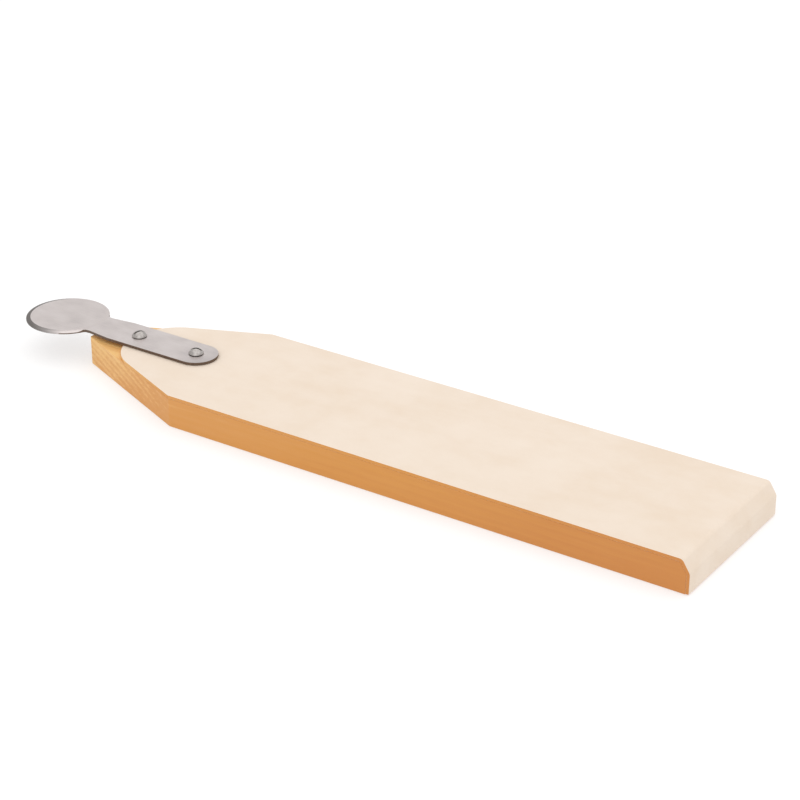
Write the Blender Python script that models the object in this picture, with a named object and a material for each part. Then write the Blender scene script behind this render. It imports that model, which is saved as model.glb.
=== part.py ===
"""Leather strop: a tapered wooden board faced with leather, with a steel tongue plate on its nose.

The frame: +X runs along the board from the round pad to the square end, +Z is up, the underside
of the board lies on Z = 0, and the origin is under the middle of the overall length.
"""

import math

import bmesh
import bpy
from mathutils import Matrix, Vector

MM = 0.001

# The wooden core
BOARD_LENGTH = 385 * MM  # from the nose to the outside of the leather on the square end
BOARD_WIDTH = 90 * MM
WOOD_THICKNESS = 16 * MM
TAPER_LENGTH = 83 * MM
NOSE_WIDTH = 19 * MM
CORNER_ROUND = 1.5 * MM  # upright corners of the outline
CHAMFER_RUN = 3.4 * MM  # sloping facet along the top of the square end
CHAMFER_DROP = 5.4 * MM
END_ROUND = 0.8 * MM  # each bend of the end that the leather goes over

# The leather facing
LEATHER_THICKNESS = 1.5 * MM
LEATHER_START = 22.5 * MM  # bare wood left between the nose and the leather's round front
LEATHER_RECESS = 0.3 * MM  # how far its lower edge stays above the surface that the board lies on

# The steel tongue plate
PLATE_THICKNESS = 1.5 * MM
STRAP_WIDTH = 23 * MM
STRAP_END = 78 * MM  # from the nose to the tip of the strap's round end
NECK_WIDTH = 19.5 * MM
NECK_LENGTH = 14 * MM  # over which the strap widens from the neck to its full width
NECK_FILLET = 2.5 * MM
PAD_RADIUS = 23 * MM
PAD_OFFSET = 24 * MM  # pad's centre, beyond the nose
RIM_WIDTH = 2.4 * MM  # band of the pad's edge that is rounded over
RIM_DROP = 0.9 * MM

# The two round-head wood screws
FRONT_SCREW = 27 * MM  # from the nose
REAR_SCREW = 66 * MM
HEAD_RADIUS = 4.1 * MM
HEAD_HEIGHT = 2.8 * MM
SHANK_RADIUS = 2.1 * MM
SCREW_LENGTH = 16 * MM  # under the head
POINT_LENGTH = 4 * MM
SLOT_WIDTH = 1.1 * MM
SLOT_DEPTH = 1.3 * MM
SLOT_ANGLES = {"front_screw": 62, "rear_screw": 24}  # degrees from +X

# Clearances
GLUE_GAP = 0.3 * MM  # glue film between the wood and the leather
SEAT_GAP = 0.3 * MM  # between pieces that lie on each other
HOLE_CLEARANCE = 0.3 * MM  # round a screw's shank
HOLE_FLOOR_GAP = 0.5 * MM  # under a screw's point
CUT_MARGIN = 5 * MM  # how far a blank or a cutter runs past the piece

ROUND_STEPS = 64
BEND_STEPS = 5
RIM_STEPS = 6
DOME_STEPS = 8
CORNER_TURN = math.radians(15)  # an upright edge that turns more is a corner, to be rounded

# Places that follow from the sizes
OVERALL_LENGTH = PAD_RADIUS + PAD_OFFSET + BOARD_LENGTH
END_X = OVERALL_LENGTH / 2
NOSE_X = END_X - BOARD_LENGTH
WOOD_END_X = END_X - LEATHER_THICKNESS - GLUE_GAP
LEATHER_TOP = WOOD_THICKNESS + GLUE_GAP + LEATHER_THICKNESS
PLATE_BOTTOM = LEATHER_TOP + SEAT_GAP
PLATE_TOP = PLATE_BOTTOM + PLATE_THICKNESS
HEAD_SEAT = PLATE_TOP + SEAT_GAP
PAD_X = NOSE_X - PAD_OFFSET
PAD_FLAT = PAD_RADIUS - RIM_WIDTH


def clear_scene():
    for item in list(bpy.data.objects):
        bpy.data.objects.remove(item, do_unlink=True)


def make_material(name, colour, roughness, metallic):
    material = bpy.data.materials.new(name)
    material.use_nodes = True
    shader = material.node_tree.nodes["Principled BSDF"]
    shader.inputs["Base Color"].default_value = (*colour, 1.0)
    shader.inputs["Roughness"].default_value = roughness
    shader.inputs["Metallic"].default_value = metallic
    return material


def add_object(name, mesh_builder, material=None):
    mesh = bpy.data.meshes.new(name)
    bmesh.ops.recalc_face_normals(mesh_builder, faces=mesh_builder.faces)
    mesh_builder.to_mesh(mesh)
    mesh_builder.free()
    item = bpy.data.objects.new(name, mesh)
    bpy.context.collection.objects.link(item)
    if material:
        mesh.materials.append(material)
        mesh.shade_smooth()
        mesh.set_sharp_from_angle(angle=math.radians(30))
    return item


def add_cutter(name, mesh_builder):
    cutter = add_object(name, mesh_builder)
    cutter.hide_render = True
    cutter.display_type = "WIRE"
    return cutter


def add_boolean(item, cutter, operation):
    modifier = item.modifiers.new(f"{operation.lower()} {cutter.name}", "BOOLEAN")
    modifier.operation = operation
    modifier.solver = "EXACT"
    modifier.object = cutter


def extrude_outline(points, direction):
    """A closed prism: the outline as one face, extruded along the direction."""
    builder = bmesh.new()
    corners = [builder.verts.new(point) for point in points]
    face = builder.faces.new(corners)
    raised = bmesh.ops.extrude_face_region(builder, geom=[face])
    moved = [part for part in raised["geom"] if isinstance(part, bmesh.types.BMVert)]
    bmesh.ops.translate(builder, verts=moved, vec=Vector(direction))
    return builder


def turn_profile(points):
    """A solid of revolution about Z from a profile of (radius, height) points on the axis at both ends."""
    builder = bmesh.new()
    rail = [builder.verts.new((radius, 0, height)) for radius, height in points]
    edges = [builder.edges.new(pair) for pair in zip(rail, rail[1:])]
    bmesh.ops.spin(
        builder,
        geom=rail + edges,
        axis=(0, 0, 1),
        cent=(0, 0, 0),
        steps=ROUND_STEPS,
        angle=math.tau,
        use_merge=True,
    )
    bmesh.ops.remove_doubles(builder, verts=builder.verts, dist=0.001 * MM)
    return builder


def make_drill(name, x, radius, bottom, top):
    builder = bmesh.new()
    middle = Matrix.Translation((x, 0, (bottom + top) / 2))
    bmesh.ops.create_cone(
        builder,
        cap_ends=True,
        segments=ROUND_STEPS // 2,
        radius1=radius,
        radius2=radius,
        depth=top - bottom,
        matrix=middle,
    )
    return add_cutter(name, builder)


def arc(centre, radius, start, end, steps):
    """Points on an arc in a plane, from one angle to another, both ends included."""
    angles = [start + (end - start) * step / steps for step in range(steps + 1)]
    return [(centre[0] + radius * math.cos(a), centre[1] + radius * math.sin(a)) for a in angles]


def wrapped_end(offset):
    """The end's section in X and Z, from the top down, at a distance outside the wood's surface.

    The wood's own corners are rounded by END_ROUND, and every offset line bends about the same
    centres, so that the leather keeps its thickness round each bend.
    """
    corners = [
        Vector((WOOD_END_X - CHAMFER_RUN, WOOD_THICKNESS)),
        Vector((WOOD_END_X, WOOD_THICKNESS - CHAMFER_DROP)),
    ]
    facet = math.atan2(CHAMFER_RUN, CHAMFER_DROP)  # angle of the facet's normal above +X
    normals = [math.pi / 2, facet, 0.0]
    line = []
    for corner, before, after in zip(corners, normals, normals[1:]):
        half_turn = (before - after) / 2
        middle = (before + after) / 2
        reach = END_ROUND / math.cos(half_turn)
        centre = corner - reach * Vector((math.cos(middle), math.sin(middle)))
        line += arc(centre, END_ROUND + offset, before, after, BEND_STEPS)
    return line


def leather_front():
    """The round front of the leather, from side to side, which runs into the tapered sides."""
    taper = math.atan2((BOARD_WIDTH - NOSE_WIDTH) / 2, TAPER_LENGTH)
    reach = NOSE_WIDTH / 2 * math.cos(taper)
    centre_x = (LEATHER_START + reach) / (1 - math.sin(taper))
    radius = centre_x - LEATHER_START
    centre = (NOSE_X + centre_x, 0)
    return arc(centre, radius, math.pi / 2 + taper, 1.5 * math.pi - taper, ROUND_STEPS // 2)


def make_outline_prism(name, front):
    """The plan of the board with the given front, taller than the board, to trim a blank with."""
    half_width = BOARD_WIDTH / 2
    shoulder_x = NOSE_X + TAPER_LENGTH
    far_x = END_X + CUT_MARGIN
    plan = front + [
        (shoulder_x, -half_width),
        (far_x, -half_width),
        (far_x, half_width),
        (shoulder_x, half_width),
    ]
    outline = [(x, y, -CUT_MARGIN) for x, y in plan]
    builder = extrude_outline(outline, (0, 0, LEATHER_TOP + 2 * CUT_MARGIN))
    bmesh.ops.recalc_face_normals(builder, faces=builder.faces)
    upright = [
        edge
        for edge in builder.edges
        if abs(edge.verts[0].co.z - edge.verts[1].co.z) > MM
        and edge.verts[0].co.x < END_X
        and edge.calc_face_angle() > CORNER_TURN
    ]
    bmesh.ops.bevel(
        builder,
        geom=upright,
        offset=CORNER_ROUND,
        offset_type="WIDTH",
        segments=4,
        profile=0.5,
        affect="EDGES",
        clamp_overlap=True,
    )
    return add_cutter(name, builder)


def extrude_section(section):
    """A prism of an X and Z section, a little wider than the board."""
    reach = BOARD_WIDTH / 2 + CUT_MARGIN
    return extrude_outline([(x, -reach, z) for x, z in section], (0, 2 * reach, 0))


def make_wood_core(outline, drills, material):
    section = [(NOSE_X - CUT_MARGIN, 0), (NOSE_X - CUT_MARGIN, WOOD_THICKNESS)]
    section += wrapped_end(0)
    section += [(WOOD_END_X, 0)]
    core = add_object("wood_core", extrude_section(section), material)
    add_boolean(core, outline, "INTERSECT")
    for drill in drills:
        add_boolean(core, drill, "DIFFERENCE")
    return core


def make_leather_face(outline, drills, material):
    start_x = NOSE_X + LEATHER_START - CUT_MARGIN
    outside = [(start_x, LEATHER_TOP)]
    outside += wrapped_end(GLUE_GAP + LEATHER_THICKNESS)
    outside += [(END_X, LEATHER_RECESS)]
    inside = [(start_x, WOOD_THICKNESS + GLUE_GAP)]
    inside += wrapped_end(GLUE_GAP)
    inside += [(WOOD_END_X + GLUE_GAP, LEATHER_RECESS)]
    face = add_object("leather_face", extrude_section(outside + inside[::-1]), material)
    add_boolean(face, outline, "INTERSECT")
    for drill in drills:
        add_boolean(face, drill, "DIFFERENCE")
    return face


def pad_profile():
    """Half section of the pad, from the middle of its top to the middle of its underside."""
    turns = [math.pi / 2 * step / RIM_STEPS for step in range(RIM_STEPS + 1)]
    rim = [(PAD_FLAT + RIM_WIDTH * math.sin(a), -RIM_DROP * (1 - math.cos(a))) for a in turns]
    return [(0.0, 0.0)] + rim + [(PAD_RADIUS, -PLATE_THICKNESS), (0.0, -PLATE_THICKNESS)]


def make_strap():
    """The flat strap, from inside the pad to the round tip, filleted where it leaves the pad."""
    half_neck = NECK_WIDTH / 2
    half_strap = STRAP_WIDTH / 2
    fillet_y = half_neck + NECK_FILLET
    fillet_reach = math.sqrt((PAD_RADIUS + NECK_FILLET) ** 2 - fillet_y**2)
    fillet_start = math.atan2(-fillet_y, -fillet_reach)
    fillet_centre = (PAD_X + fillet_reach, fillet_y)
    side = [(PAD_X + PAD_FLAT / 2, half_neck)]
    side += arc(fillet_centre, NECK_FILLET, fillet_start, -math.pi / 2, BEND_STEPS)
    side += [(NOSE_X + NECK_LENGTH, half_strap)]
    tip_centre = (NOSE_X + STRAP_END - half_strap, 0)
    tip = arc(tip_centre, half_strap, math.pi / 2, -math.pi / 2, ROUND_STEPS // 2)
    other_side = [(x, -y) for x, y in reversed(side)]
    outline = [(x, y, PLATE_BOTTOM) for x, y in side + tip + other_side]
    return extrude_outline(outline, (0, 0, PLATE_THICKNESS))


def make_tongue_plate(drills, material):
    pad = turn_profile(pad_profile())
    bmesh.ops.translate(pad, verts=pad.verts, vec=(PAD_X, 0, PLATE_TOP))
    plate = add_object("tongue_plate", pad, material)
    add_boolean(plate, add_cutter("strap_shape", make_strap()), "UNION")
    for drill in drills:
        add_boolean(plate, drill, "DIFFERENCE")
    return plate


def make_screw(name, x, material):
    """A slotted round-head wood screw, its point down, its head resting on the plate."""
    dome_radius = (HEAD_RADIUS**2 + HEAD_HEIGHT**2) / (2 * HEAD_HEIGHT)
    half_angle = math.asin(HEAD_RADIUS / dome_radius)
    dome_centre = (0.0, HEAD_HEIGHT - dome_radius)
    profile = arc(dome_centre, dome_radius, math.pi / 2, math.pi / 2 - half_angle, DOME_STEPS)
    profile += [
        (SHANK_RADIUS, 0.0),
        (SHANK_RADIUS, POINT_LENGTH - SCREW_LENGTH),
        (0.0, -SCREW_LENGTH),
    ]
    builder = turn_profile(profile)
    bmesh.ops.translate(builder, verts=builder.verts, vec=(x, 0, HEAD_SEAT))
    screw = add_object(name, builder, material)
    slot = bmesh.new()
    bmesh.ops.create_cube(slot, size=1.0)
    slot_length = 2 * (HEAD_RADIUS + CUT_MARGIN)
    bmesh.ops.scale(slot, verts=slot.verts, vec=(slot_length, SLOT_WIDTH, 2 * SLOT_DEPTH))
    turn = Matrix.Rotation(math.radians(SLOT_ANGLES[name]), 4, "Z")
    bmesh.ops.transform(slot, verts=slot.verts, matrix=turn)
    bmesh.ops.translate(slot, verts=slot.verts, vec=(x, 0, HEAD_SEAT + HEAD_HEIGHT))
    add_boolean(screw, add_cutter(f"{name}_slot", slot), "DIFFERENCE")
    return screw


def build():
    clear_scene()
    wood = make_material("wood", (0.68, 0.32, 0.10), 0.55, 0.0)
    leather = make_material("leather", (0.90, 0.77, 0.63), 0.75, 0.0)
    plate_steel = make_material("plate_steel", (0.60, 0.58, 0.57), 0.38, 1.0)
    screw_steel = make_material("screw_steel", (0.66, 0.64, 0.62), 0.30, 1.0)
    half_nose = NOSE_WIDTH / 2
    nose = [(NOSE_X, half_nose), (NOSE_X, -half_nose)]
    wood_outline = make_outline_prism("wood_outline", nose)
    leather_outline = make_outline_prism("leather_outline", leather_front())
    places = {"front_screw": NOSE_X + FRONT_SCREW, "rear_screw": NOSE_X + REAR_SCREW}
    hole_radius = SHANK_RADIUS + HOLE_CLEARANCE
    hole_floor = HEAD_SEAT - SCREW_LENGTH - HOLE_FLOOR_GAP
    drills = [
        make_drill(f"{name}_hole", x, hole_radius, hole_floor, PLATE_TOP + CUT_MARGIN)
        for name, x in places.items()
    ]
    make_wood_core(wood_outline, drills, wood)
    make_leather_face(leather_outline, drills, leather)
    make_tongue_plate(drills, plate_steel)
    for name, x in places.items():
        make_screw(name, x, screw_steel)


build()
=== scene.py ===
import math
from types import SimpleNamespace

import bmesh
import bpy
from mathutils import Matrix, Vector


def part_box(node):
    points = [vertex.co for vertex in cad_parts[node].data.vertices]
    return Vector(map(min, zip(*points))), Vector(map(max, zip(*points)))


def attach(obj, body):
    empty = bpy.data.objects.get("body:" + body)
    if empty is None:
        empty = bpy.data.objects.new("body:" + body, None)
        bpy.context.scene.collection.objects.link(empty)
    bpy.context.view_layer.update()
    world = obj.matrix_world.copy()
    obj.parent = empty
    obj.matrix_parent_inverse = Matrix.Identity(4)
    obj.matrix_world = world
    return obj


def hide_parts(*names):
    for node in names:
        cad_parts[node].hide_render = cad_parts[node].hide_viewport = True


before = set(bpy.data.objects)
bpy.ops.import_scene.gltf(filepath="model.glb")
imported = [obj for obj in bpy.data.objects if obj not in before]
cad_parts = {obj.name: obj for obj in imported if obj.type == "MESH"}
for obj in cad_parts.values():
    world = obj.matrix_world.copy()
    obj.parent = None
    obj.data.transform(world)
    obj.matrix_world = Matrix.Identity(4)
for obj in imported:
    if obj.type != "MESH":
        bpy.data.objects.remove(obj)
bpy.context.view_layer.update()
print("frame loaded")

mm = 0.001
woodLow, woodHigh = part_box("wood_core")
leatherLow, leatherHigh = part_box("leather_face")
plateLow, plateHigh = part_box("tongue_plate")
noseX, endX = woodLow.x, leatherHigh.x
halfWidth = woodHigh.y

# the board's plan and its square end, which the wood and the leather share
board = {
    "noseHalf": 9.5 * mm,
    "taperLength": 83 * mm,
    "chamferRun": 3.4 * mm,
    "chamferDrop": 5.4 * mm,
    "endRound": 0.8 * mm,
    "spare": 3 * mm,   # how far a blank runs past its sides before they are trimmed
}
taper = math.atan2(halfWidth - board["noseHalf"], board["taperLength"])

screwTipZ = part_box("front_screw")[0].z

screwHole = {
    "radius": 2.4 * mm,
    "sides": 32,
    "floorGap": 0.5 * mm,   # room under the screw's tip
    "past": 5 * mm,         # how far the drill goes past a face
}


def linkMesh(bm, name, *materials):
    mesh = bpy.data.meshes.new(name)
    bm.to_mesh(mesh)
    bm.free()
    piece = bpy.data.objects.new(name, mesh)
    bpy.context.scene.collection.objects.link(piece)
    for material in materials:
        mesh.materials.append(material)
    return piece


def finishMesh(bm, name, *materials):
    # for closed shapes, whose normals can be worked out
    bmesh.ops.recalc_face_normals(bm, faces=bm.faces)
    return linkMesh(bm, name, *materials)


def settle(piece, sharpAngle=32):
    # the modifiers become the mesh, and faces shade smooth up to the angle
    graph = bpy.context.evaluated_depsgraph_get()
    old = piece.data
    piece.data = bpy.data.meshes.new_from_object(piece.evaluated_get(graph))
    piece.modifiers.clear()
    piece.data.name = piece.name
    bpy.data.meshes.remove(old)
    piece.data.shade_smooth()
    piece.data.set_sharp_from_angle(angle=math.radians(sharpAngle))


def cutWith(piece, cutter):
    cut = piece.modifiers.new("cut " + cutter.name, "BOOLEAN")
    cut.operation = "DIFFERENCE"
    cut.solver = "EXACT"
    cut.object = cutter
    settle(piece)
    bpy.data.objects.remove(cutter, do_unlink=True)


def drillForScrews(piece, bottomZ, topZ):
    radius, middleZ = screwHole["radius"], (bottomZ + topZ) / 2
    for node in ("front_screw", "rear_screw"):
        low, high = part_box(node)
        place = Matrix.Translation(((low.x + high.x) / 2, 0, middleZ))
        drill = bmesh.new()
        bmesh.ops.create_cone(drill, cap_ends=True, segments=screwHole["sides"], radius1=radius,
                              radius2=radius, depth=topZ - bottomZ, matrix=place)
        cutWith(piece, finishMesh(drill, node + "Hole"))


def roundByModifier(piece, width, segments, sharperThan, material=-1):
    ease = piece.modifiers.new("eased", "BEVEL")
    ease.width = width
    ease.segments = segments
    ease.limit_method = "ANGLE"
    ease.angle_limit = math.radians(sharperThan)
    ease.material = material


def trim(bm, point, normal):
    # everything past the plane goes
    whole = bm.verts[:] + bm.edges[:] + bm.faces[:]
    bmesh.ops.bisect_plane(bm, geom=whole, plane_co=point, plane_no=normal, clear_outer=True)


def closeHoles(bm):
    rims = [edge for edge in bm.edges if edge.is_boundary]
    bmesh.ops.holes_fill(bm, edges=rims, sides=0)


def easeEdges(bm, edges, width, segments):
    bmesh.ops.bevel(bm, geom=edges, offset=width, segments=segments, profile=0.5,
                    affect="EDGES", material=-1, clamp_overlap=True)


def edgesWhere(bm, test):
    return [edge for edge in bm.edges if test((edge.verts[0].co + edge.verts[1].co) / 2, edge)]


def onlyOf(kind, made):
    return [part for part in made if isinstance(part, kind)]


def turnUpward(bm):
    # an open surface faces up where its largest face does
    bmesh.ops.recalc_face_normals(bm, faces=bm.faces)
    if max(bm.faces, key=lambda face: face.calc_area()).normal.z < 0:
        bmesh.ops.reverse_faces(bm, faces=bm.faces)


def dress(piece, node):
    even = piece.modifiers.new("evenNormals", "WEIGHTED_NORMAL")
    even.keep_sharp = True
    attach(piece, "root")
    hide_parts(node)


def startMaterial(name, colour, roughness, metallic=0.0):
    # a material and short ways to add nodes to it
    material = bpy.data.materials.new(name)
    material.use_nodes = True
    nodes, links = material.node_tree.nodes, material.node_tree.links
    shader = nodes["Principled BSDF"]
    shader.inputs["Base Color"].default_value = (*colour, 1)
    shader.inputs["Roughness"].default_value = roughness
    shader.inputs["Metallic"].default_value = metallic
    place = nodes.new("ShaderNodeTexCoord").outputs["Object"]

    def axis(letter):
        split = nodes.new("ShaderNodeSeparateXYZ")
        links.new(place, split.inputs["Vector"])
        return split.outputs[letter]

    def stretched(scale, turn=(0, 0, 0), shift=(0, 0, 0)):
        mapping = nodes.new("ShaderNodeMapping")
        mapping.inputs["Location"].default_value = shift
        mapping.inputs["Rotation"].default_value = [math.radians(angle) for angle in turn]
        mapping.inputs["Scale"].default_value = scale
        links.new(place, mapping.inputs["Vector"])
        return mapping.outputs["Vector"]

    def noise(vector, scale, detail=3.0, rough=0.6):
        texture = nodes.new("ShaderNodeTexNoise")
        texture.inputs["Scale"].default_value = scale
        texture.inputs["Detail"].default_value = detail
        texture.inputs["Roughness"].default_value = rough
        links.new(vector, texture.inputs["Vector"])
        return texture.outputs["Fac"]

    def cells(vector, scale):
        texture = nodes.new("ShaderNodeTexVoronoi")
        texture.inputs["Scale"].default_value = scale
        links.new(vector, texture.inputs["Vector"])
        return texture.outputs["Distance"]

    def rings(vector, spacing, distortion):
        # at scale 1 the texture has a ring every tau / 20
        texture = nodes.new("ShaderNodeTexWave")
        texture.wave_type = "RINGS"
        texture.rings_direction = "X"
        texture.inputs["Scale"].default_value = math.tau / 20 / spacing
        texture.inputs["Distortion"].default_value = distortion
        texture.inputs["Detail"].default_value = 2.0
        texture.inputs["Detail Scale"].default_value = 0.7
        links.new(vector, texture.inputs["Vector"])
        return texture.outputs["Fac"]

    def facing(direction):
        # how far a point lies toward a direction
        dot = nodes.new("ShaderNodeVectorMath")
        dot.operation = "DOT_PRODUCT"
        dot.inputs[1].default_value = direction
        links.new(place, dot.inputs[0])
        return dot.outputs["Value"]

    def spread(value, low, high, toLow=0.0, toHigh=1.0):
        rangeNode = nodes.new("ShaderNodeMapRange")
        rangeNode.inputs["From Min"].default_value = low
        rangeNode.inputs["From Max"].default_value = high
        rangeNode.inputs["To Min"].default_value = toLow
        rangeNode.inputs["To Max"].default_value = toHigh
        links.new(value, rangeNode.inputs["Value"])
        return rangeNode.outputs["Result"]

    def total(*weighted):
        # the sum of values, each with its weight
        result = None
        for value, weight in weighted:
            node = nodes.new("ShaderNodeMath")
            node.operation = "MULTIPLY_ADD"
            links.new(value, node.inputs[0])
            node.inputs[1].default_value = weight
            if result:
                links.new(result, node.inputs[2])
            else:
                node.inputs[2].default_value = 0
            result = node.outputs["Value"]
        return result

    def shades(value, *stops):
        ramp = nodes.new("ShaderNodeValToRGB")
        first, last = ramp.color_ramp.elements
        first.position, first.color = stops[0][0], (*stops[0][1], 1)
        last.position, last.color = stops[-1][0], (*stops[-1][1], 1)
        for at, stopColour in stops[1:-1]:
            ramp.color_ramp.elements.new(at).color = (*stopColour, 1)
        links.new(value, ramp.inputs["Fac"])
        return ramp.outputs["Color"]

    def relief(height, depth, before=None):
        bump = nodes.new("ShaderNodeBump")
        bump.inputs["Strength"].default_value = 1.0
        bump.inputs["Distance"].default_value = depth
        links.new(height, bump.inputs["Height"])
        if before:
            links.new(before, bump.inputs["Normal"])
        return bump.outputs["Normal"]

    def feed(socketName, value):
        links.new(value, shader.inputs[socketName])

    return material, SimpleNamespace(
        place=place, shader=shader, axis=axis, stretched=stretched, noise=noise, cells=cells, rings=rings,
        facing=facing, spread=spread, total=total, shades=shades, relief=relief, feed=feed)


leatherLook = {
    "pale": (0.80, 0.68, 0.565),
    "warm": (0.775, 0.645, 0.52),
    "light": (0.82, 0.705, 0.595),
    "cloudScale": 28,
    "patchScale": 75,
    "swellScale": 160,
    "swellDepth": 0.12 * mm,
    "pebbleScale": 2600,
    "fibreScale": 4200,
    "grainDepth": 0.05 * mm,
}


def makeLeatherTop():
    look = leatherLook
    material, k = startMaterial("stropLeather", look["pale"], 0.78)
    cloud = k.noise(k.place, look["cloudScale"], detail=4)
    patch = k.noise(k.stretched((0.5, 1, 1)), look["patchScale"], detail=5)
    mottle = k.total((cloud, 0.6), (patch, 0.4))
    k.feed("Base Color", k.shades(mottle, (0.36, look["warm"]), (0.52, look["pale"]), (0.68, look["light"])))
    k.feed("Roughness", k.spread(mottle, 0.35, 0.65, 0.82, 0.7))
    pebbles = k.cells(k.place, look["pebbleScale"])
    fibres = k.noise(k.stretched((0.6, 1, 1)), look["fibreScale"])
    swell = k.relief(k.noise(k.place, look["swellScale"], detail=2, rough=0.5), look["swellDepth"])
    k.feed("Normal", k.relief(k.total((pebbles, 0.7), (fibres, 0.5)), look["grainDepth"], swell))
    k.shader.inputs["Specular IOR Level"].default_value = 0.3
    k.shader.inputs["Sheen Weight"].default_value = 0.05
    k.shader.inputs["Sheen Roughness"].default_value = 0.5
    return material


# the wood's orange from the nose to the square end, with painted light that makes the nose paler and painted
# shade that deepens it toward the square end; the leather's stained cut edge follows the same tones
woodLook = {
    "nose": (0.81, 0.49, 0.18),
    "shoulder": (0.655, 0.30, 0.081),
    "middle": (0.635, 0.277, 0.060),
    "end": (0.575, 0.225, 0.053),
    "figureShare": 0.16,
    "lowShare": 0.12,   # how much deeper the tone is at the underside
    "cutScale": 1800,   # fibres of the leather's cut edge
    "cutDepth": 0.05 * mm,
    "ringSpacing": 3.4 * mm,
    "pith": (0, 14 * mm, -62 * mm),
    "wanderScale": 9,
    "mottleScale": 75,
    "grainScale": 900,
    "poreScale": 1800,
    "poreDepth": 0.05 * mm,
}


def woodShades(k, figure, lift):
    # figure is a value with its low and high end, and lift the tones that these add
    look = woodLook
    # painted light and shade along the board: the tone is paler at the nose and deeper toward the square end
    along = k.spread(k.axis("X"), noseX, endX)
    deeper = k.spread(k.axis("Z"), 0, woodHigh.z, look["lowShare"], 0)
    tone = k.total((along, 1), (deeper, 1), (k.spread(*figure, *lift), 1))
    return k.shades(tone, (0, look["nose"]), (0.2, look["shoulder"]),
                    (0.55, look["middle"]), (1, look["end"]))


def makeLeatherCut():
    material, k = startMaterial("leatherCutEdge", woodLook["middle"], 0.7)
    fibres = k.noise(k.stretched((0.35, 0.35, 2.2)), woodLook["cutScale"], detail=4, rough=0.65)
    # the stain, with the same painted light and shade along the board as the wood
    k.feed("Base Color", woodShades(k, (fibres, 0.3, 0.7), (-0.08, 0.04)))
    k.feed("Normal", k.relief(fibres, woodLook["cutDepth"]))
    return material


def makeWood():
    look = woodLook
    material, k = startMaterial("oiledPine", look["middle"], 0.5)
    shift = [-value for value in look["pith"]]
    rings = k.rings(k.stretched((0.12, 1, 1), turn=(0, 0.9, 0.6), shift=shift), look["ringSpacing"], 2.2)
    wander = k.noise(k.stretched((1, 4, 4)), look["wanderScale"], detail=2, rough=0.5)
    mottle = k.noise(k.stretched((0.4, 1, 1)), look["mottleScale"], rough=0.55)
    grain = k.noise(k.stretched((0.05, 1, 1)), look["grainScale"], detail=4)
    figure = k.total((rings, 0.25), (grain, 0.75), (wander, 0.5), (mottle, 0.5))
    share = look["figureShare"]
    k.feed("Base Color", woodShades(k, (figure, 0.6, 1.4), (-share, share)))
    k.feed("Roughness", k.spread(grain, 0.3, 0.7, 0.42, 0.6))
    pores = k.noise(k.stretched((0.04, 1, 1)), look["poreScale"], rough=0.7)
    k.feed("Normal", k.relief(pores, look["poreDepth"]))
    k.shader.inputs["Specular IOR Level"].default_value = 0.4
    return material


plateLook = {
    "steel": (0.67, 0.61, 0.592),
    "bright": (0.725, 0.672, 0.66),
    "dull": (0.57, 0.52, 0.507),
    "darkerTip": 24 * mm,   # stretch over which the tip turns darker
    "brushScale": 5200,
    "brushDepth": 0.006 * mm,
    "smearScale": 120,
    # the cut edges are partly the darker sheared steel and partly painted: a painted brown reflection of the
    # wood and leather, and painted shade of the gap under the plate
    "cut": (0.17, 0.12, 0.09),
    "cutDark": (0.12, 0.085, 0.065),
    "cutLight": (0.23, 0.17, 0.13),
    "cutDragScale": 2400,
    "cutDragDepth": 0.03 * mm,
    "rimMid": (0.33, 0.305, 0.295),
    "rimDark": (0.18, 0.165, 0.155),
    "rimDragScale": 1500,
    "rimDragDepth": 0.01 * mm,
    # the way the rim's painted dark reflection deepens, toward the left of the camera's view
    "paintedDarkSide": Vector((-0.83, -0.56, 0)),
}
# the order of the plate's materials, and its pad, which the rim's painted dark reflection follows
plateSlots = {"steel": 0, "cut": 1, "rim": 2}
padRadius = 23 * mm


def makePlateSteel():
    look = plateLook
    material, k = startMaterial("brushedSteel", look["steel"], 0.36, 1.0)
    brush = k.noise(k.stretched((0.02, 1, 1)), look["brushScale"], detail=4, rough=0.65)
    smear = k.noise(k.stretched((0.6, 1, 1)), look["smearScale"], rough=0.5)
    tip = k.spread(k.axis("X"), plateHigh.x - look["darkerTip"], plateHigh.x, 0, -0.15)
    tone = k.total((brush, 0.55), (smear, 0.45), (tip, 1))
    k.feed("Base Color", k.shades(tone, (0.34, look["dull"]), (0.5, look["steel"]), (0.66, look["bright"])))
    k.feed("Roughness", k.spread(tone, 0.3, 0.7, 0.30, 0.44))
    k.feed("Normal", k.relief(brush, look["brushDepth"]))
    return material


def makePlateCut():
    look = plateLook
    # dark brown steel carrying a painted reflection of the wood and painted shade under the plate
    material, k = startMaterial("cutEdgeShadeAndReflection", look["cut"], 0.55, 1.0)
    drag = k.noise(k.stretched((0.6, 0.6, 3)), look["cutDragScale"])
    k.feed("Base Color", k.shades(drag, (0.35, look["cutDark"]), (0.65, look["cutLight"])))
    k.feed("Normal", k.relief(drag, look["cutDragDepth"]))
    return material


def makePlateRim():
    # a painted dark reflection, darker toward the pad's left side in the camera's view
    look = plateLook
    material, k = startMaterial("rolledSteel", look["rimMid"], 0.42, 1.0)
    drag = k.noise(k.place, look["rimDragScale"])
    middle = (plateLow.x + padRadius) * look["paintedDarkSide"].x
    # the painted dark reflection deepens from the pad's middle to its edge on that side
    paintedDark = k.spread(k.facing(look["paintedDarkSide"]), middle, middle + padRadius)
    paintedDark = k.total((paintedDark, 1), (k.spread(drag, 0.3, 0.7, -0.06, 0.06), 1))
    k.feed("Base Color", k.shades(paintedDark, (0, look["steel"]), (0.42, look["rimMid"]), (0.8, look["rimDark"])))
    k.feed("Normal", k.relief(drag, look["rimDragDepth"]))
    return material


screwLook = {
    "zinc": (0.50, 0.46, 0.44),
    "hazy": (0.36, 0.33, 0.31),
    "clear": (0.50, 0.47, 0.45),
    "hazeScale": 900,
    "dimpleScale": 2500,
    "dimpleDepth": 0.006 * mm,
}


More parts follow.
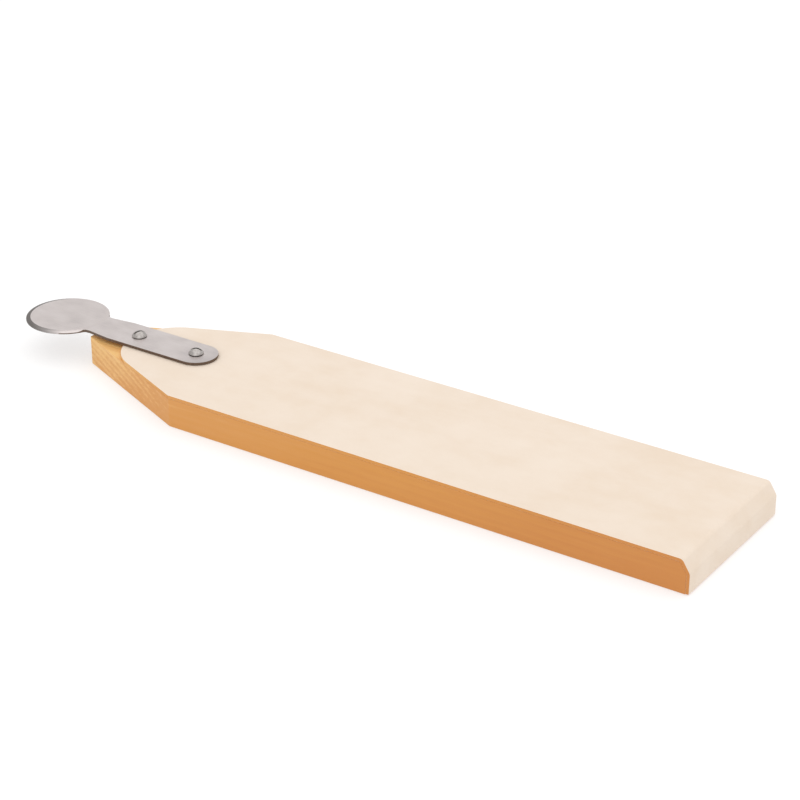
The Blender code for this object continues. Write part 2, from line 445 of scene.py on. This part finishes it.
def makeScrewSteel():
    look = screwLook
    material, k = startMaterial("polishedZinc", look["zinc"], 0.3, 1.0)
    haze = k.noise(k.place, look["hazeScale"], detail=4)
    k.feed("Base Color", k.shades(haze, (0.35, look["hazy"]), (0.65, look["clear"])))
    k.feed("Roughness", k.spread(haze, 0.3, 0.7, 0.22, 0.36))
    dimples = k.noise(k.place, look["dimpleScale"], detail=2, rough=0.5)
    k.feed("Normal", k.relief(dimples, look["dimpleDepth"]))
    return material


leatherTop, leatherCut, wood = makeLeatherTop(), makeLeatherCut(), makeWood()
plateSteel, plateCut, plateRim = makePlateSteel(), makePlateCut(), makePlateRim()
screwSteel = makeScrewSteel()
print("materials ready")


def endBends(offset):
    # where the section of the end turns, at a distance outside the wood
    backX, topZ = woodHigh.x, woodHigh.z
    facet = math.atan2(board["chamferRun"], board["chamferDrop"])
    corners = [(backX - board["chamferRun"], topZ, math.pi / 2, facet),
               (backX, topZ - board["chamferDrop"], facet, 0.0)]
    places = []
    for x, z, before, after in corners:
        reach = offset / math.cos((before - after) / 2)
        middle = (before + after) / 2
        places.append((x + reach * math.cos(middle), z + reach * math.sin(middle)))
    return places


def extrudeAcross(bm, points, closed):
    reach = halfWidth + board["spare"]
    corners = [bm.verts.new((x, -reach, z)) for x, z in points]
    if closed:
        made = bmesh.ops.extrude_face_region(bm, geom=[bm.faces.new(corners)])
    else:
        line = [bm.edges.new(pair) for pair in zip(corners, corners[1:])]
        made = bmesh.ops.extrude_edge_only(bm, edges=line)
    bmesh.ops.translate(bm, verts=onlyOf(bmesh.types.BMVert, made["geom"]), vec=(0, 2 * reach, 0))


def roundBends(bm, places, radius, segments):
    # bends of the same turn are rounded together
    near = 0.05 * mm
    bends = edgesWhere(bm, lambda at, edge: abs(at.y) < mm and any(
        math.hypot(at.x - x, at.z - z) < near for x, z in places))
    turns = {}
    for edge in bends:
        turns.setdefault(round(edge.calc_face_angle(), 3), []).append(edge)
    for angle, edges in turns.items():
        easeEdges(bm, edges, radius * math.tan(angle / 2), segments)


def trimSides(bm, solid):
    for side in (-1, 1):
        straight = ((0, side * halfWidth, 0), (0, side, 0))
        tapered = ((noseX, side * board["noseHalf"], 0), (-math.sin(taper), side * math.cos(taper), 0))
        for point, normal in (straight, tapered):
            trim(bm, point, normal)
            if solid:
                closeHoles(bm)


woodShape = {
    "bendSegments": 5,
    "cornerEase": 0.75 * mm,
    "cornerSegments": 4,
    "arris": 0.2 * mm,
    "arrisSegments": 3,
    "arrisAngle": 40,
}


def buildWood():
    w = woodShape
    bm = bmesh.new()
    bends = endBends(0)
    extrudeAcross(bm, [(noseX, 0), (noseX, woodHigh.z)] + bends + [(woodHigh.x, 0)], closed=True)
    roundBends(bm, bends, board["endRound"], w["bendSegments"])
    trimSides(bm, solid=True)
    shoulderX = noseX + board["taperLength"]
    upright = edgesWhere(bm, lambda at, edge: at.x < shoulderX + mm
                         and abs(edge.verts[0].co.z - edge.verts[1].co.z) > woodHigh.z / 2)
    easeEdges(bm, upright, w["cornerEase"], w["cornerSegments"])
    bmesh.ops.recalc_face_normals(bm, faces=bm.faces)
    sharp = edgesWhere(bm, lambda at, edge: edge.calc_face_angle() > math.radians(w["arrisAngle"]))
    easeEdges(bm, sharp, w["arris"], w["arrisSegments"])
    piece = finishMesh(bm, "woodCore", wood)
    drillForScrews(piece, screwTipZ - screwHole["floorGap"], woodHigh.z + screwHole["past"])
    dress(piece, "wood_core")


buildWood()
print("wood core ready")


leatherShape = {
    "thickness": 1.5 * mm,
    "glue": 0.3 * mm,
    "film": 0.02 * mm,   # what is left of the glue's gap, so that the leather looks stuck down
    "bendSegments": 8,
    "frontFacets": 24,
    "edgeEase": 0.25 * mm,
    "easeSegments": 3,
    "easeAngle": 50,
}


def trimFront(bm):
    # a round front that runs into the tapered sides
    start = leatherLow.x - noseX
    centreX = (start + board["noseHalf"] * math.cos(taper)) / (1 - math.sin(taper))
    centre = Vector((noseX + centreX, 0, 0))
    facets = leatherShape["frontFacets"]
    for step in range(facets + 1):
        angle = math.pi / 2 + taper + (math.pi - 2 * taper) * step / facets
        outward = Vector((math.cos(angle), math.sin(angle), 0))
        trim(bm, centre + (centreX - start) * outward, outward)


def buildLeather():
    s = leatherShape
    outer = s["thickness"] + s["glue"]
    topZ = woodHigh.z + outer
    bends = endBends(outer)
    below = bends + [(endX, leatherLow.z)]
    bm = bmesh.new()
    extrudeAcross(bm, [(noseX, topZ)] + below, closed=False)
    roundBends(bm, bends, board["endRound"] + outer, s["bendSegments"])
    trimSides(bm, solid=False)
    trimFront(bm)
    turnUpward(bm)
    piece = linkMesh(bm, "leatherFacing", leatherTop, leatherCut)
    wall = piece.modifiers.new("thickness", "SOLIDIFY")
    wall.thickness = outer - s["film"]
    wall.offset = -1
    wall.use_even_offset = True
    wall.material_offset_rim = 1
    roundByModifier(piece, s["edgeEase"], s["easeSegments"], s["easeAngle"])
    settle(piece)
    drillForScrews(piece, woodHigh.z - screwHole["past"], leatherHigh.z + screwHole["past"])
    dress(piece, "leather_face")


buildLeather()


plateShape = {
    "padFlat": 20.6 * mm,
    "padSides": 96,
    "rimBands": 6,
    "rimDrop": 0.9 * mm,
    "neckReach": 10.9 * mm,   # half of the pad's edge that the neck is drawn out of
    "neckBlend": 2.2 * mm,
    "neckHalf": 9.75 * mm,
    # share of the way to the nose, and what the neck is wider there on each side
    "flare": ((0.25, 0.2625 * mm), (0.55, 0.15 * mm), (1, 0)),
    "neckLength": 14 * mm,
    "neckRows": 4,
    "strapHalf": 11.5 * mm,
    "strapRows": 6,
    "tipRows": 12,
    "edgeEase": 0.25 * mm,
    "easeSegments": 2,
    "easeAngle": 50,
}


def drawPad(bm, padX):
    # the flat and the bands of its rounded rim, which stays level where the neck leaves it
    p = plateShape
    topZ = plateHigh.z
    turned = Matrix.Translation((padX, 0, topZ)) @ Matrix.Rotation(math.pi / p["padSides"], 4, "Z")
    bmesh.ops.create_circle(bm, cap_ends=True, segments=p["padSides"], radius=p["padFlat"], matrix=turned)
    rimWidth = padRadius - p["padFlat"]
    edges = [edge for edge in bm.edges if edge.is_boundary]
    for band in range(1, p["rimBands"] + 1):
        turn = math.pi / 2 * band / p["rimBands"]
        radius, drop = p["padFlat"] + rimWidth * math.sin(turn), p["rimDrop"] * (1 - math.cos(turn))
        made = bmesh.ops.extrude_edge_only(bm, edges=edges)["geom"]
        ring = set(onlyOf(bmesh.types.BMVert, made))
        edges = [edge for edge in onlyOf(bmesh.types.BMEdge, made) if ring.issuperset(edge.verts)]
        for vert in ring:
            away = Vector((vert.co.x - padX, vert.co.y, 0)).normalized()
            level = 0.0
            if away.x > 0:
                outside = (abs(away.y) * padRadius - p["neckReach"]) / p["neckBlend"]
                level = 1 - min(1, max(0, outside))
                level = level * level * (3 - 2 * level)
            vert.co = Vector((padX, 0, topZ - drop * (1 - level))) + radius * away
        for face in onlyOf(bmesh.types.BMFace, made):
            face.material_index = plateSlots["rim"]
    return [edge for edge in edges
            if all(vert.co.x > padX and abs(vert.co.y) < p["neckReach"] for vert in edge.verts)]


def between(start, end, number, count):
    return start + (end - start) * number / count


def strapRows():
    # each row's place along the strap and its half width, from the nose to the tip
    p = plateShape
    wideX, tipX = noseX + p["neckLength"], plateHigh.x - p["strapHalf"]
    rows = []
    for number in range(1, p["neckRows"] + 1):
        half = between(p["neckHalf"], p["strapHalf"], number, p["neckRows"])
        rows.append((between(noseX, wideX, number, p["neckRows"]), half))
    for number in range(1, p["strapRows"] + 1):
        rows.append((between(wideX, tipX, number, p["strapRows"]), p["strapHalf"]))
    for number in range(1, p["tipRows"] + 1):
        turn = math.pi / 2 * number / p["tipRows"]
        rows.append((tipX + p["strapHalf"] * math.sin(turn), p["strapHalf"] * math.cos(turn)))
    return rows


def drawRow(bm, edges, alongs, half):
    made = bmesh.ops.extrude_edge_only(bm, edges=edges)["geom"]
    row = sorted(onlyOf(bmesh.types.BMVert, made), key=lambda vert: vert.co.y)
    for number, (vert, along) in enumerate(zip(row, alongs)):
        across = half * (2 * number / (len(row) - 1) - 1)
        vert.co = Vector((along, across, plateHigh.z))
    for face in onlyOf(bmesh.types.BMFace, made):
        face.material_index = plateSlots["steel"]
    return [edge for edge in onlyOf(bmesh.types.BMEdge, made) if set(row).issuperset(edge.verts)]


def drawStrap(bm, edges):
    neck = sorted({vert for edge in edges for vert in edge.verts}, key=lambda vert: vert.co.y)
    starts = [vert.co.x for vert in neck]
    for share, extra in plateShape["flare"]:
        alongs = [start + (noseX - start) * share for start in starts]
        edges = drawRow(bm, edges, alongs, plateShape["neckHalf"] + extra)
    for along, half in strapRows():
        edges = drawRow(bm, edges, [along] * len(starts), half)
    bmesh.ops.remove_doubles(bm, verts=bm.verts, dist=0.005 * mm)


def buildPlate():
    p = plateShape
    padX = plateLow.x + padRadius
    bm = bmesh.new()
    drawStrap(bm, drawPad(bm, padX))
    skirt = bmesh.ops.extrude_edge_only(bm, edges=[edge for edge in bm.edges if edge.is_boundary])["geom"]
    for vert in onlyOf(bmesh.types.BMVert, skirt):
        vert.co.z = plateLow.z
    # the side walls take the cut material with its painted dark line of reflection and shade; beside the
    # pad, they take the rim's painted dark reflection
    for face in onlyOf(bmesh.types.BMFace, skirt):
        besidePad = face.calc_center_median().x < padX + p["neckReach"]
        face.material_index = plateSlots["rim" if besidePad else "cut"]
    closeHoles(bm)
    underside = max(bm.faces, key=lambda face: face.calc_area())
    underside.material_index = plateSlots["steel"]
    piece = finishMesh(bm, "tonguePlate", plateSteel, plateCut, plateRim)
    # the eased edges take the cut material too, so the painted dark line runs along every edge of the plate
    roundByModifier(piece, p["edgeEase"], p["easeSegments"], p["easeAngle"], material=plateSlots["cut"])
    settle(piece)
    drillForScrews(piece, plateHigh.z - screwHole["past"], plateHigh.z + screwHole["past"])
    dress(piece, "tongue_plate")


buildPlate()
print("tongue plate ready")


screwShape = {
    "headRadius": 4.1 * mm,
    "headHeight": 2.8 * mm,
    "domeFacets": 10,
    "rimHeight": 0.25 * mm,   # upright band under the dome
    "rimEase": 0.06 * mm,
    "shankRadius": 2.1 * mm,
    "length": 16 * mm,
    "point": 4 * mm,
    "sides": 72,
    "slotWidth": 1.1 * mm,
    "slotDepth": 1.3 * mm,
    "slotEase": 0.12 * mm,
    "easeSegments": 2,
    "easeAngle": 45,
    "slotAngles": {"front_screw": 62, "rear_screw": 24},
}


def screwProfile(topZ):
    # radius and height, from the top of the dome to the point
    s = screwShape
    seatZ = topZ - s["headHeight"]
    domeHeight = s["headHeight"] - s["rimHeight"]
    domeRadius = (s["headRadius"] ** 2 + domeHeight ** 2) / 2 / domeHeight
    half = math.asin(s["headRadius"] / domeRadius)
    turns = [half * number / s["domeFacets"] for number in range(s["domeFacets"] + 1)]
    dome = [(domeRadius * math.sin(turn), topZ - domeRadius * (1 - math.cos(turn))) for turn in turns]
    rim = [(s["headRadius"], seatZ + s["rimEase"]), (s["headRadius"] - s["rimEase"], seatZ)]
    shank = [(s["shankRadius"], seatZ), (s["shankRadius"], seatZ - s["length"] + s["point"])]
    return dome + rim + shank + [(0, seatZ - s["length"])]


def buildScrew(node, name):
    s = screwShape
    low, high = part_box(node)
    x = (low.x + high.x) / 2
    bm = bmesh.new()
    points = [bm.verts.new((radius, 0, z)) for radius, z in screwProfile(high.z)]
    line = [bm.edges.new(pair) for pair in zip(points, points[1:])]
    bmesh.ops.spin(bm, geom=points + line, axis=(0, 0, 1), cent=(0, 0, 0), steps=s["sides"],
                   angle=math.tau, use_merge=True)
    bmesh.ops.remove_doubles(bm, verts=bm.verts, dist=0.002 * mm)
    bmesh.ops.translate(bm, verts=bm.verts, vec=(x, 0, 0))
    screw = finishMesh(bm, name, screwSteel)
    slot = bmesh.new()
    place = Matrix.Translation((x, 0, high.z)) @ Matrix.Rotation(math.radians(s["slotAngles"][node]), 4, "Z")
    size = Matrix.Diagonal((4 * s["headRadius"], s["slotWidth"], 2 * s["slotDepth"], 1))
    bmesh.ops.create_cube(slot, size=1, matrix=place @ size)
    cutWith(screw, finishMesh(slot, name + "Slot"))
    roundByModifier(screw, s["slotEase"], s["easeSegments"], s["easeAngle"])
    settle(screw)
    dress(screw, node)


buildScrew("front_screw", "frontScrew")
buildScrew("rear_screw", "rearScrew")
print("screws ready")


view = {
    "azimuth": 33.85,
    "elevation": 26.626,
    "distance": 1.23872,
    "target": (-0.00356, 0.04688, 0),
    "lens": 105.02415,
    "sensor": 36,
    "near": 0.01,
    "far": 20,
}


def addCamera():
    camera = bpy.data.objects.new("camera", bpy.data.cameras.new("camera"))
    bpy.context.scene.collection.objects.link(camera)
    a, e = math.radians(view["azimuth"]), math.radians(view["elevation"])
    back = Vector((math.sin(a) * math.cos(e), -math.cos(a) * math.cos(e), math.sin(e)))
    camera.location = Vector(view["target"]) + back * view["distance"]
    camera.rotation_mode = "QUATERNION"
    camera.rotation_quaternion = (-back).to_track_quat("-Z", "Y")
    camera.data.sensor_width = view["sensor"]
    camera.data.lens = view["lens"]
    camera.data.clip_start = view["near"]
    camera.data.clip_end = view["far"]
    bpy.context.scene.camera = camera


# the floor glows a little, so that it stays pale where the pad shades it
floorLook = {"reach": 6, "below": 0.3 * mm, "tone": 0.5, "glow": 0.52}


def addFloor():
    bm = bmesh.new()
    bmesh.ops.create_grid(bm, x_segments=1, y_segments=1, size=floorLook["reach"],
                          matrix=Matrix.Translation((0, 0, -floorLook["below"])))
    material, k = startMaterial("paleFloor", [floorLook["tone"]] * 3, 0.9)
    k.shader.inputs["Emission Color"].default_value = (1, 1, 1, 1)
    k.shader.inputs["Emission Strength"].default_value = floorLook["glow"]
    k.shader.inputs["Specular IOR Level"].default_value = 0.0
    finishMesh(bm, "floor", material)


# place, size and watts of each lamp, aimed at the middle of the board
lamps = {
    "overhead": ((0.1, 0.2, 1.9), (3.6, 3.2), 18),
    "front": ((0.7, -1.8, 1.1), (2.6, 1.8), 6),
}


def addSoftbox(name, place, size, power):
    lamp = bpy.data.lights.new(name, "AREA")
    lamp.shape = "RECTANGLE"
    lamp.size, lamp.size_y = size
    lamp.energy = power
    box = bpy.data.objects.new(name, lamp)
    bpy.context.scene.collection.objects.link(box)
    box.location = place
    box.rotation_mode = "QUATERNION"
    box.rotation_quaternion = (-Vector(place)).to_track_quat("-Z", "Y")


surroundings = {"tone": (1, 1, 1, 1), "strength": 0.85}


def addSurroundings():
    world = bpy.data.worlds.new("studio")
    bpy.context.scene.world = world
    world.use_nodes = True
    background = world.node_tree.nodes["Background"]
    background.inputs["Color"].default_value = surroundings["tone"]
    background.inputs["Strength"].default_value = surroundings["strength"]


addCamera()
addFloor()
for name, settings in lamps.items():
    addSoftbox(name, *settings)
addSurroundings()
bpy.context.scene.view_settings.view_transform = "Standard"
print("camera, floor and light ready")
